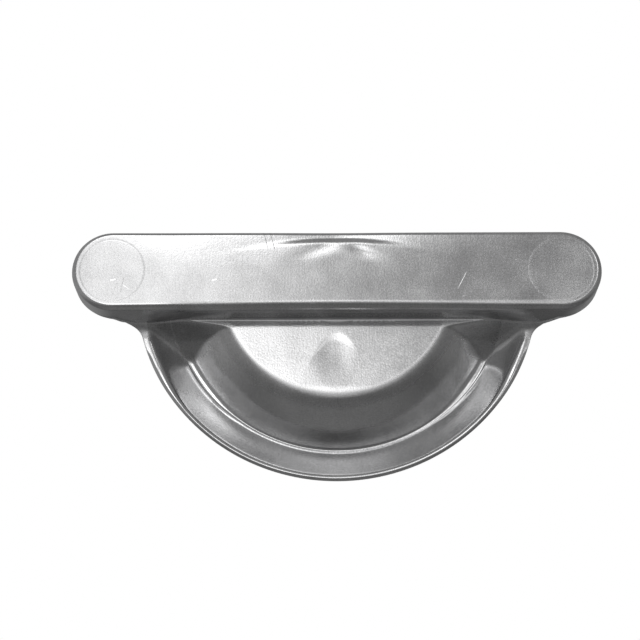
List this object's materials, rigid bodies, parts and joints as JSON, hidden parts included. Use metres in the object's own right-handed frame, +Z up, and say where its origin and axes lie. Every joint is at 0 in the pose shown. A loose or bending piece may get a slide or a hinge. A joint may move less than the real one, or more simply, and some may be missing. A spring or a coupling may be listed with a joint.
{
  "type": "gutter end cap",
  "caption": "Pressed sheet end cap for a half-round gutter, with a long raised bar that boxes in the bead and a ring groove that plugs the channel.",
  "frame": {"origin": "centre of the half-round, on the bar's centre line, in the front face of the flat sheet", "axes": "+X along the bar, +Y towards the gutter, +Z up as the cap hangs on its gutter"},
  "size_m": [0.1378, 0.0211, 0.0637],
  "materials": {
    "sheet": "bare mill finish, satin, lightly scratched"
  },
  "bodies": {
    "root": {"end_cap": "sheet"}
  },
  "joints": []
}
